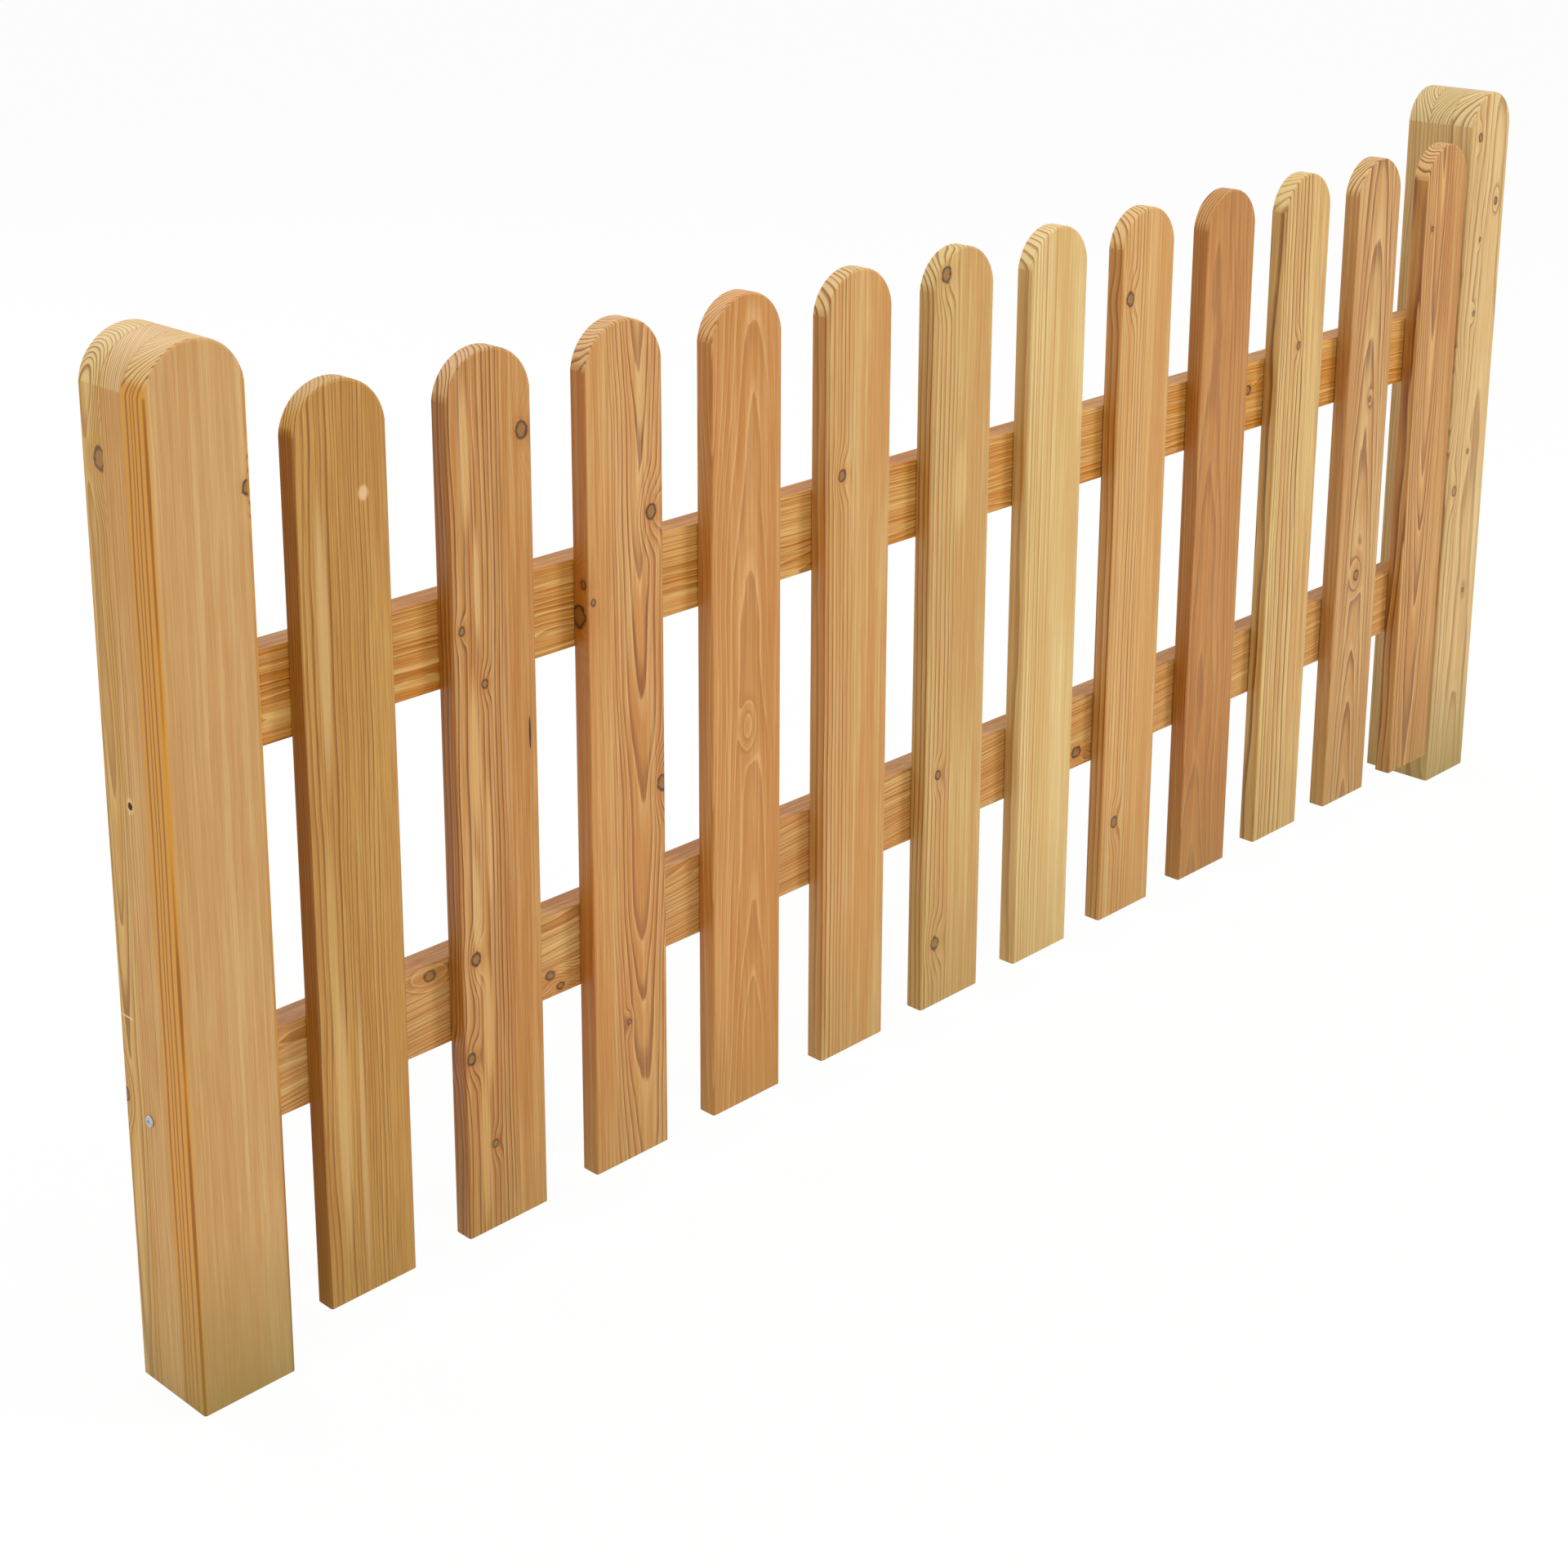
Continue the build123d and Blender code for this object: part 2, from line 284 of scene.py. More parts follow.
BOARDS = {
    "picket_01": {
        "early": "#bd8f54", "late": "#7d4d1c", "warm": "#a7733a", "pale": "#c8a262",
        "pith": (-66.0, 36.0), "lean": (0.006, 0.0), "ring": 3.2, "seed": 3.1,
        "contrast": 0.92, "pale_lines": 0.4, "plain": ((18.0, 34.0),),
        "fibre": 0.3,
        # Painted shade on its edges, darkest here beside the post
        "edge_shade": 0.9, "edge_shade_tone": "#c2a058",
        # Pale streaks, and last a small filled spot
        "marks": (
            (-24.0, 640.0, 5.5, 110.0, "#ccaa76", 0.7, 0.4),
            (-28.0, 380.0, 5.0, 90.0, "#c9a56c", 0.55, 0.5),
            (-24.0, 230.0, 6.0, 110.0, "#ccaa74", 0.7, 0.4),
            (-5.0, 190.0, 3.0, 130.0, "#ceae7a", 0.6, 0.5),
            (20.0, 754.0, 4.6, 6.0, "#dcb98c", 0.9, 0.4),
        ),
    },
    "picket_02": {
        "early": "#c18f57", "late": "#70401a", "warm": "#a96c38", "pale": "#d4ac7a",
        "pith": (-74.0, 30.0), "lean": (0.004, 0.0), "ring": 3.9, "seed": 7.7,
        "contrast": 1.2, "pale_lines": 0.5, "plain": ((0.0, 18.0),),
        "edge_shade": 0.7,
        "knots": (
            (34.0, 774.0, 5.6, 1.0), (-35.0, 614.0, 2.8, 0.9), (-12.0, 562.0, 3.0, 0.9),
            (-30.0, 315.0, 4.6, 1.0), (-38.0, 223.0, 4.2, 1.0), (-14.0, 132.0, 3.0, 0.9),
        ),
        # A short crack, painted as a dark line of shade, and then pale streaks
        "marks": (
            (36.0, 505.0, 1.1, 15.0, "#24140a", 1.0, 0.06),
            (-27.0, 760.0, 5.0, 60.0, "#d8b07a", 0.7, 0.4),
            (-18.0, 650.0, 3.4, 46.0, "#d9b17c", 0.7, 0.4),
            (-25.0, 500.0, 4.6, 70.0, "#d6ad76", 0.75, 0.4),
            (-12.0, 420.0, 2.8, 60.0, "#d8b07a", 0.65, 0.4),
            (-27.0, 350.0, 4.0, 60.0, "#d8b07a", 0.7, 0.4),
            (-18.0, 250.0, 5.0, 60.0, "#d4a972", 0.7, 0.4),
            (-25.0, 130.0, 5.0, 70.0, "#d4aa70", 0.65, 0.4),
        ),
    },
    "picket_03": {
        "early": "#c99961", "late": "#86502a", "warm": "#b57642", "pale": "#dcb582",
        "pith": (16.0, 34.0), "lean": (0.0, -0.03), "ring": 3.0, "seed": 11.3,
        "contrast": 1.1, "pale_lines": 0.55, "plain": ((-10.0, -26.0),),
        "warmth": 0.5,
        "edge_shade": 0.7,
        "knots": (
            (30.0, 672.0, 5.4, 1.0), (41.0, 413.0, 5.5, 1.0), (-3.0, 190.0, 2.2, 0.8),
            (-39.0, 604.0, 2.4, 0.9),
        ),
        "side_knots": ((2.0, 590.0, 7.5, 1.0), (-4.0, 620.0, 3.0, 0.9)),
    },
    "picket_04": {
        "early": "#c28e57", "late": "#9b5e2b", "warm": "#b57a43", "pale": "#d9ac7a",
        "pith": (6.0, 26.0), "lean": (0.0, 0.028), "ring": 3.6, "seed": 15.9,
        "contrast": 0.46, "pale_lines": 0.75, "plain": ((16.0, 32.0),),
        "warmth": 0.4, "paleness": 0.2, "fibre": 0.24,
        # The eye in the middle of the rings
        "knots": ((2.0, 434.0, 4.6, 0.0),),
    },
    "picket_05": {
        "early": "#c99c65", "late": "#8c5a2b", "warm": "#bc834c", "pale": "#dcbf8a",
        "pith": (-118.0, 30.0), "ring": 4.8, "wobble": 1.6, "seed": 19.4,
        "contrast": 1.05, "pale_lines": 0.4, "plain": ((-16.0, 0.0),),
        "paleness": 0.55,
        "knots": ((-23.0, 654.0, 4.4, 1.0),),
    },
    "picket_06": {
        "early": "#c8a36c", "late": "#87592a", "warm": "#bd8a54", "pale": "#d4bb81",
        "pith": (-92.0, 48.0), "ring": 4.8, "wobble": 1.8, "seed": 22.6,
        "contrast": 1.15, "pale_lines": 0.5, "plain": ((-12.0, 0.0),),
        "paleness": 0.6,
        "knots": ((-25.0, 307.0, 3.8, 1.0), (-25.0, 120.0, 5.4, 1.0), (-27.0, 826.0, 6.0, 1.0)),
        "marks": ((0.0, 610.0, 9.0, 40.0, "#dcc08a", 0.4, 0.5),),
    },
    "picket_07": {
        "early": "#d3b47b", "late": "#a67a45", "warm": "#c79d65", "pale": "#e4ce9a",
        "pith": (-150.0, 20.0), "ring": 5.0, "wobble": 1.6, "seed": 27.2,
        "contrast": 1.05, "pale_lines": 0.5, "plain": ((-12.0, 2.0),),
        "paleness": 0.6, "fibre": 0.18,
    },
    "picket_08": {
        "early": "#cb9e67", "late": "#93602f", "warm": "#be874d", "pale": "#debc86",
        "pith": (-105.0, 40.0), "ring": 5.0, "wobble": 1.8, "seed": 31.8,
        "contrast": 1.1, "pale_lines": 0.4, "plain": ((-8.0, 8.0),),
        "fibre": 0.2,
        "knots": ((-30.0, 756.0, 5.6, 1.0), (-23.0, 162.0, 4.8, 1.0)),
    },
    "picket_09": {
        "early": "#b9844f", "late": "#804c22", "warm": "#a56c39", "pale": "#c29560",
        "pith": (-20.0, 50.0), "lean": (0.0, 0.02), "ring": 3.8, "seed": 36.1,
        "contrast": 0.6, "pale_lines": 0.35,
        "warmth": 0.6, "paleness": 0.15, "fibre": 0.24,
    },
    "picket_10": {
        "early": "#cfad76", "late": "#75481f", "warm": "#bc854c", "pale": "#ddc287",
        "pith": (44.0, 46.0), "lean": (0.0, -0.015), "ring": 5.6, "seed": 41.5,
        "contrast": 1.2, "pale_lines": 0.6, "cut_lines": 0.5, "plain": ((2.0, 14.0),),
        "paleness": 0.5,
        "knots": ((-6.0, 652.0, 3.4, 1.0),),
    },
    "picket_11": {
        "early": "#c49d69", "late": "#7a4824", "warm": "#b07a46", "pale": "#d8b684",
        "pith": (0.0, 16.0), "lean": (0.0, 0.036), "ring": 4.2, "seed": 45.3,
        "contrast": 1.1, "pale_lines": 0.55, "plain": ((24.0, 38.0), (-24.0, -38.0)),
        "warmth": 0.45, "paleness": 0.25,
        "knots": ((-2.0, 340.0, 5.0, 0.9), (4.0, 560.0, 2.6, 0.8)),
    },
    "picket_12": {
        "early": "#bb8d57", "late": "#7a4720", "warm": "#aa6f39", "pale": "#d8b07a",
        "pith": (-10.0, 24.0), "lean": (0.0, -0.03), "ring": 4.4, "seed": 50.6,
        "contrast": 1.1, "pale_lines": 0.7, "plain": ((4.0, 24.0),),
        "warmth": 0.6, "paleness": 0.25,
        "knots": ((-28.0, 750.0, 2.2, 1.0),),
    },
    "top_rail": {
        "early": "#d3a062", "late": "#96591f", "warm": "#c07c38", "pale": "#e8c282",
        "pith": (-20.0, 66.0), "slant": 0.03, "ring": 2.5, "wobble": 4.0, "seed": 53.7,
        "contrast": 0.8, "pale_lines": 0.9,
        "warmth": 0.75, "streaks": 0.45, "fibre": 0.35,
        # Painted shade on its top and bottom faces
        "edge_shade_from": 38.3, "edge_shade": 0.35, "edge_shade_tone": "#d3b3a4",
        "knots": ((8.0, 1395.0, 5.0, 1.0),),
    },
    "bottom_rail": {
        "early": "#d3a66e", "late": "#965c28", "warm": "#be7f46", "pale": "#e6c48a",
        "pith": (16.0, 58.0), "slant": -0.06, "ring": 2.3, "wobble": 4.5, "seed": 58.2,
        "contrast": 0.75, "pale_lines": 0.7,
        "warmth": 0.5, "streaks": 0.45, "fibre": 0.35,
        # Painted shade on its top and bottom faces
        "edge_shade_from": 38.3, "edge_shade": 0.35, "edge_shade_tone": "#d3b3a4",
        "knots": (
            (-22.0, 1100.0, 5.6, 1.0), (-18.0, 340.0, 4.0, 0.9), (30.0, 205.0, 4.6, 0.8),
            (-32.0, 352.0, 3.2, 0.9),
        ),
    },
    "left_post_front_lamella": {
        "early": "#c8a070", "late": "#8f5a1c", "warm": "#b98a54", "pale": "#d4b580", "cut": "#e0bd80",
        "band": ("#ce9548", "#965a1e"),
        "pith": (12.0, 36.0), "ring": 3.2, "wobble": 1.0, "seed": 62.8,
        "contrast": 1.0, "pale_lines": 0.14, "front": 0.2, "plain": ((-26.0, -8.0),),
        "paleness": 0.5, "fibre": 0.2,
        "foot_shade": 1.0,
        "knots": ((42.0, 776.0, 4.6, 1.0),),
    },
    "left_post_middle_lamella": {
        "early": "#cda266", "late": "#9c6634", "warm": "#bf884e", "pale": "#dab680", "cut": "#dcbd8a",
        "pith": (-90.0, 120.0), "ring": 2.3, "wobble": 1.0, "seed": 66.4,
        "contrast": 0.85, "pale_lines": 0.5,
        "fibre": 0.35,
        "foot_shade": 0.6,
        # The chipped rim of the empty bore, and the painted shade of its inside
        "side_marks": (
            (9.0, 523.0, 4.6, 6.5, "#dfc08c", 0.75, 0.4),
            (9.0, 523.0, 3.2, 3.4, "#4a3018", 0.9, 0.2),
        ),
    },
    "left_post_rear_lamella": {
        "early": "#cda76b", "late": "#8c5f26", "warm": "#bd8640", "pale": "#ddbf84", "cut": "#e0c48c",
        "pith": (-66.0, 2.0), "lean": (0.015, 0.0), "ring": 2.9, "seed": 71.1,
        "contrast": 1.0, "pale_lines": 0.5,
        "warmth": 0.55,
        "foot_shade": 0.6,
        "side_knots": ((-10.0, 803.0, 7.0, 0.9), (14.0, 261.0, 5.0, 1.0)),
        # A pale scratch
        "side_marks": ((4.0, 333.0, 10.0, 0.8, "#e6cc9a", 0.8, 0.2),),
    },
    "right_post_front_lamella": {
        "early": "#d0b07c", "late": "#946a38", "warm": "#bc935e", "pale": "#dec796", "cut": "#dac495",
        "pith": (10.0, 26.0), "lean": (0.01, 0.02), "ring": 6.0, "wobble": 5.0, "seed": 75.6,
        "contrast": 1.0, "pale_lines": 0.45,
        "warmth": 0.3, "paleness": 0.5,
        "foot_shade": 1.0,
        "knots": (
            (24.0, 761.0, 3.4, 1.0), (-24.0, 846.0, 4.0, 1.0), (-8.0, 716.0, 2.2, 0.9),
            (-10.0, 622.0, 2.6, 0.9), (-26.0, 392.0, 5.0, 0.7), (0.0, 440.0, 2.4, 0.8),
            (14.0, 250.0, 2.4, 0.8),
        ),
        "side_knots": ((4.0, 513.0, 12.0, 1.0),),
    },
    "right_post_middle_lamella": {
        "early": "#c8a874", "late": "#8c6838", "warm": "#b48c58", "pale": "#d6bb88", "cut": "#d6c090",
        "pith": (20.0, 60.0), "ring": 2.8, "seed": 79.3,
        "contrast": 0.75,
        "paleness": 0.5,
        "foot_shade": 0.6,
    },
    "right_post_rear_lamella": {
        "early": "#caaa76", "late": "#8f6b3b", "warm": "#b68f5a", "pale": "#d8be8c", "cut": "#d8c294",
        "pith": (-10.0, -40.0), "lean": (0.01, 0.0), "ring": 3.2, "seed": 84.7,
        "contrast": 0.75,
        "paleness": 0.5,
        "foot_shade": 0.6,
    },
}

HALF_BOARD = 45.0
ARCH_RISE = 40.0

# The faintest and the darkest ring, as shares of the board's contrast, and what a plain stretch leaves of
# them
RING_STRENGTHS = (0.6, 1.1)
PLAIN_SHARE = 0.22

# Where each layer starts and is full, in mm: the end grain above the arch's start, and in from the front and
# the back, the rings on a pale front, the band from the middle line, and the painted shade of the foot above
# the board's end, whose edge the streaks make uneven. BAND_LINES is the latewood at which the band's rings
# start and are full.
END_GRAIN_START = (-0.5, 1.5)
END_GRAIN_RIM = (0.4, 1.6)
FRONT_SKIN = (0.4, 1.2)
BAND_START = (40.5, 44.0)
BAND_LINES = (0.05, 0.65)
EDGE_SHADE_FADE = 1.8
FOOT_SHADE_START = (210.0, 40.0)
FOOT_SHADE_UNEVEN = 90.0

# How far a layer covers what is under it where it is full
END_GRAIN_SHARE = 0.8
BAND_SHARE = 0.95
FOOT_SHADE_SHARE = 0.6
HALO_SHARE = 0.45
CORE_SHARE = 0.9
RIM_SHARE = 0.95

KNOT_CORE = ("#a97b45", "#6f4a26")
KNOT_RIM = "#33210f"
# The colour of the painted shade at a board's foot
FOOT_SHADE_COLOUR = "#7f7030"

# The planed face: the depth of its relief in mm, how far it shows, what fibres and rings have of it, and how
# much glossier the hard latewood is
RELIEF_DEPTH = 0.3
RELIEF_STRENGTH = 0.35
FIBRE_RELIEF = 0.6
LATE_RELIEF = 0.5
LATE_GLOSS = 0.1


def board_place(tree, name):
    """Across, through and along a board in mm, from its middle line. It stands, or lies along X."""
    low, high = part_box(name)
    middle = (low + high) / 2 / MM
    place = add(tree, "TexCoord").outputs["Object"]
    shift = (-middle.x, -middle.y, 0.0)
    if high.x - low.x > high.z - low.z:
        parts = add(tree, "SeparateXYZ", place).outputs
        place = add(tree, "CombineXYZ", parts["Z"], parts["Y"], parts["X"])
        shift = (-middle.z, -middle.y, 0.0)
    return add(tree, "VectorMath", place, (1 / MM, 1 / MM, 1 / MM), shift, operation="MULTIPLY_ADD")


def knot_shares(tree, faces):
    """All knots of a board as one: the sum of their bulges and the most of their other shares."""
    shares = {}
    for flat, knots in faces:
        for centre, height, radius, strength in knots:
            inputs = {"Place": flat, "Centre": (centre, 0.0, height), "Radius": radius, "Strength": strength}
            knot = add(tree, "Group", inputs, node_tree=bpy.data.node_groups["Knot"])
            for key in ("Bulge", "Core", "Rim", "Halo"):
                way = "ADD" if key == "Bulge" else "MAXIMUM"
                value = knot.outputs[key]
                if key in shares:
                    value = add(tree, "Math", shares[key], value, operation=way)
                shares[key] = value
    return shares


def read_board(tree, name):
    """What the layers of a board's colour read: its look and size, the place on it, its knots and rings."""
    look = {**PLAIN, **(PICKET if name.startswith("picket_") else {}), **BOARDS[name]}
    low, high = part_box(name)
    place = board_place(tree, name)
    across, through, along = add(tree, "SeparateXYZ", place).outputs
    front_place = add(tree, "VectorMath", place, (1.0, 0.0, 1.0), operation="MULTIPLY")
    depth = add(tree, "Math", across, HALF_BOARD, operation="ADD")
    side_place = add(tree, "CombineXYZ", through, depth, along)
    knots = knot_shares(tree, ((front_place, look["knots"]), (side_place, look["side_knots"])))

    slant = add(tree, "VectorMath", (look["slant"], 0.0, 0.0), along, operation="SCALE")
    inputs = {
        "Place": add(tree, "VectorMath", place, slant, operation="ADD"), "Pith": (*look["pith"], 0.0),
        "Lean": (*look["lean"], 0.0), "Wobble": look["wobble"], "Ring": look["ring"], "Seed": look["seed"],
    }
    if knots:
        inputs["Bulge"] = knots["Bulge"]
    rings = add(tree, "Group", inputs, node_tree=bpy.data.node_groups["Growth rings"])
    late, early, tone, fibre, broad, fine = rings.outputs
    return SimpleNamespace(
        tree=tree, look=look, foot=low.z / MM, top=high.z / MM, half=(high.y - low.y) / 2 / MM,
        across=across, through=through, along=along, front_place=front_place, side_place=side_place,
        knots=knots, late=late, early=early, tone=tone, fibre=fibre, broad=broad, fine=fine,
        colours={key: linear(look[key]) for key in ("early", "late", "warm", "pale")},
    )


def wood_colour(board, grain):
    """The wood with its clouds, rings, streaks and fibres.

    A layer is its source, the values at which it starts and is full, its strength and its colour.
    """
    tree, look = board.tree, board.look
    faintest, darkest = [look["contrast"] * grain * share for share in RING_STRENGTHS]
    strength = add(tree, "MapRange", board.tone, 0.0, 1.0, faintest, darkest)
    strength = add(tree, "Math", board.late, strength, operation="MULTIPLY")
    if look["front"] < 1.0:
        skin = [depth - board.half for depth in FRONT_SKIN]
        face = add(tree, "MapRange", board.through, *skin, look["front"], 1.0)
        strength = add(tree, "Math", strength, face, operation="MULTIPLY")
    early = board.early
    for start, end in look["plain"]:
        zone = (board.across, start, end, 1.0, PLAIN_SHARE)
        zone = add(tree, "MapRange", *zone, interpolation_type="SMOOTHSTEP")
        strength = add(tree, "Math", strength, zone, operation="MULTIPLY")
        early = add(tree, "Math", early, zone, operation="MULTIPLY")

    warmth = look["warmth"]
    share = add(tree, "MapRange", board.broad, 0.38, 0.66, 0.0, warmth, interpolation_type="SMOOTHSTEP")
    base = add(tree, "Mix", share, board.colours["early"], board.colours["warm"], data_type="RGBA")
    for source, start, end, amount, key in (
        (board.broad, 0.5, 0.3, look["paleness"], "pale"),
        (early, 0.0, 1.0, look["pale_lines"], "pale"),
        (strength, 0.0, 1.0, 1.0, "late"),
        (board.fine, 0.44, 0.62, look["streaks"], "warm"),
        (board.fine, 0.48, 0.34, look["streaks"], "pale"),
        (board.fibre, 0.46, 0.64, look["fibre"], "late"),
        (board.fibre, 0.46, 0.3, look["fibre"], "pale"),
    ):
        share = add(tree, "MapRange", source, start, end, 0.0, amount)
        base = add(tree, "Mix", share, base, board.colours[key], data_type="RGBA")
    return base


def paint_marks(board, base):
    """Streaks, spots and cracks, each only on the front or the left edge that it lies on."""
    tree, look = board.tree, board.look
    front = add(tree, "Math", board.through, 0.0, operation="LESS_THAN")
    left = add(tree, "Math", board.across, 0.0, operation="LESS_THAN")
    for flat, marks, near in (
        (board.front_place, look["marks"], front),
        (board.side_place, look["side_marks"], left),
    ):
        for centre, height, half_width, half_height, colour, strength, softness in marks:
            inputs = {
                "Place": flat, "Centre": (centre, 0.0, height), "Size": (half_width, 1.0, half_height),
                "Softness": softness, "Fine": board.fine, "Strength": strength,
            }
            share = add(tree, "Group", inputs, node_tree=bpy.data.node_groups["Mark"])
            share = add(tree, "Math", share, near, operation="MULTIPLY")
            base = add(tree, "Mix", share, base, linear(colour), data_type="RGBA")
    return base


def paint_knots(board, base):
    """A warm halo round each knot, its core, and its dark rim."""
    if not board.knots:
        return base
    tree = board.tree
    light, dark = KNOT_CORE
    core = add(tree, "Mix", board.fibre, linear(light), linear(dark), data_type="RGBA")
    for key, amount, colour in (
        ("Halo", HALO_SHARE, board.colours["warm"]),
        ("Core", CORE_SHARE, core),
        ("Rim", RIM_SHARE, linear(KNOT_RIM)),
    ):
        share = add(tree, "Math", board.knots[key], amount, operation="MULTIPLY")
        base = add(tree, "Mix", share, base, colour, data_type="RGBA")
    return base


def paint_end_grain(board, base):
    """The pale end grain of a round top, on the arch and not on the faces beside it."""
    tree, look = board.tree, board.look
    wide = add(tree, "Math", board.through, operation="ABSOLUTE")
    rim = [board.half - depth for depth in END_GRAIN_RIM]
    rim = add(tree, "MapRange", wide, *rim, interpolation_type="SMOOTHSTEP")
    start = [board.top - ARCH_RISE + height for height in END_GRAIN_START]
    full = END_GRAIN_SHARE
    end = add(tree, "MapRange", board.along, *start, 0.0, full, interpolation_type="SMOOTHSTEP")
    end = add(tree, "Math", end, rim, operation="MULTIPLY")
    share = add(tree, "Math", board.late, look["cut_lines"], operation="MULTIPLY")
    cut = linear(look["cut"] or look["pale"])
    cut = add(tree, "Mix", share, cut, board.colours["late"], data_type="RGBA")
    return add(tree, "Mix", end, base, cut, data_type="RGBA")


def paint_edge_band_and_shade(board, base):
    """A band of other wood on a board's edges, and painted shade that makes the edges darker than the front.
    """
    tree, look = board.tree, board.look
    wide = add(tree, "Math", board.across, operation="ABSOLUTE")
    if look["band"]:
        between, line = look["band"]
        share = add(tree, "MapRange", wide, *BAND_START, 0.0, BAND_SHARE, interpolation_type="SMOOTHSTEP")
        lined = add(tree, "MapRange", board.late, *BAND_LINES)
        colour = add(tree, "Mix", lined, linear(between), linear(line), data_type="RGBA")
        base = add(tree, "Mix", share, base, colour, data_type="RGBA")
    # Painted shade: the edge faces, out of the key light and between the boards, are multiplied darker
    if look["edge_shade"]:
        start, dark = look["edge_shade_from"], look["edge_shade"]
        full = start + EDGE_SHADE_FADE
        share = add(tree, "MapRange", wide, start, full, 0.0, dark, interpolation_type="SMOOTHSTEP")
        tone = linear(look["edge_shade_tone"])
        base = add(tree, "Mix", share, base, tone, data_type="RGBA", blend_type="MULTIPLY")
    return base


def paint_foot_shade(board, base):
    """Painted shade: a darker olive tint towards a board's foot, where less light falls."""
    tree, shade_amount = board.tree, board.look["foot_shade"]
    if not shade_amount:
        return base
    height = add(tree, "Math", board.fine, FOOT_SHADE_UNEVEN, board.along, operation="MULTIPLY_ADD")
    start = [board.foot + rise for rise in FOOT_SHADE_START]
    share = add(tree, "MapRange", height, *start, 0.0, FOOT_SHADE_SHARE * shade_amount)
    return add(tree, "Mix", share, base, linear(FOOT_SHADE_COLOUR), data_type="RGBA")


def board_material(name, settings):
    """Planed larch: pale earlywood and thin brown latewood rings, soft fibres and knots with dark rims."""
    material, tree = new_material(f"planed_larch_{name}")
    board = read_board(tree, name)
    base = wood_colour(board, settings.grain)
    base = paint_marks(board, base)
    base = paint_knots(board, base)
    if not name.endswith("_rail"):
        base = paint_end_grain(board, base)
    base = paint_edge_band_and_shade(board, base)
    base = paint_foot_shade(board, base)
    inputs = {"Saturation": settings.saturation, "Value": settings.brightness, "Color": base}
    base = add(tree, "HueSaturation", inputs)

    relief = add(tree, "Math", board.late, LATE_RELIEF, operation="MULTIPLY")
    relief = add(tree, "Math", board.fibre, FIBRE_RELIEF, relief, operation="MULTIPLY_ADD")
    if board.knots:
        relief = add(tree, "Math", relief, board.knots["Rim"], operation="SUBTRACT")
    inputs = {"Strength": RELIEF_STRENGTH, "Distance": RELIEF_DEPTH * MM, "Height": relief}
    bump = add(tree, "Bump", inputs)
    rough = settings.roughness
    rough = add(tree, "MapRange", board.late, 0.0, 1.0, rough, rough - LATE_GLOSS)
    inputs = {"Base Color": base, "Roughness": rough, "IOR": IOR_TIMBER, "Normal": bump}
    add(tree, "OutputMaterial", {"Surface": add(tree, "BsdfPrincipled", inputs)})
    return material


def dress(name, material):
    """Gives a CAD node its material."""
    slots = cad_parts[name].material_slots
    if not slots:
        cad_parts[name].data.materials.append(material)
    for one in slots:
        one.material = material


# Screws, in metres. They keep to the lengths and radii of the CAD screws that they replace.

PICKET_SCREW_LENGTH = 42 * MM
PICKET_SCREW_RADIUS = 2 * MM
PICKET_HEAD_HEIGHT = 3 * MM
PICKET_HEAD_EDGE = 0.25 * MM
SIDE_SCREW_LENGTH = 60 * MM
SIDE_SCREW_RADIUS = 3 * MM
SIDE_HEAD_HEIGHT = 2.5 * MM
POINT_LENGTH = 4 * MM

# How many flat steps go round a screw, how far the side screw is turned in radians, and the seed that turns
# the others
STEPS_ROUND = 48
SIDE_SCREW_TURN = 0.5
TURN_SEED = 7

# The width of a zinc crystal in mm. Real ones are far finer: it is as coarse as it needs to be to show.
ZINC_CRYSTAL = 10 / 9
ZINC_ROUGHNESS = (0.28, 0.45)


def zinc_material():
    """Zinc-plated steel: a bright grey metal whose crystals cloud its shine."""
    material, tree = new_material("zinc_plated_steel")
    place = add(tree, "TexCoord").outputs["Object"]
    cloud = add(tree, "TexNoise", place, 1 / (ZINC_CRYSTAL * MM), 4.0, 0.5)
    colour = add(tree, "Mix", cloud, linear("#c6c9cc"), linear("#9a9ea3"), data_type="RGBA")
    rough = add(tree, "MapRange", cloud, 0.3, 0.7, *ZINC_ROUGHNESS)
    shader = add(tree, "BsdfPrincipled", {"Base Color": colour, "Metallic": 1.0, "Roughness": rough})
    add(tree, "OutputMaterial", {"Surface": shader})
    return material


def screw_mesh(name, profile, lobes, recess, turn):
    """A screw of revolution along +Z, whose head looks down -Z and has a lobed recess.

    The profile is (radius, z) from the head's rim to the tip. The recess is its outer and inner radius, its
    depth and the z of the face that it is cut into. The turn is a matrix that places the screw.
    """
    outer, inner, depth, top = recess
    shape = bmesh.new()
    angles = [2 * math.pi * i / STEPS_ROUND for i in range(STEPS_ROUND)]
    star = [inner + (outer - inner) * abs(math.cos(lobes * a / 2)) ** 2 for a in angles]
    walls = ((0.45, 1), (0.9, 0.25), (1, 0))
    rows = [[(width * r, top + share * depth) for r in star] for width, share in walls]
    rows += [[(r, z)] * STEPS_ROUND for r, z in profile]
    rings = []
    for row in rows:
        places = [(r * math.cos(a), r * math.sin(a), z) for (r, z), a in zip(row, angles)]
        rings.append([shape.verts.new(place) for place in places])
    for first, second in zip(rings, rings[1:]):
        for i in range(STEPS_ROUND):
            j = (i + 1) % STEPS_ROUND
            shape.faces.new((first[i], first[j], second[j], second[i]))
    shape.faces.new(rings[0])
    shape.faces.new(rings[-1])
    bmesh.ops.recalc_face_normals(shape, faces=shape.faces)
    bmesh.ops.transform(shape, matrix=turn, verts=shape.verts)
    mesh = bpy.data.meshes.new(name)
    shape.to_mesh(mesh)
    shape.free()
    return mesh


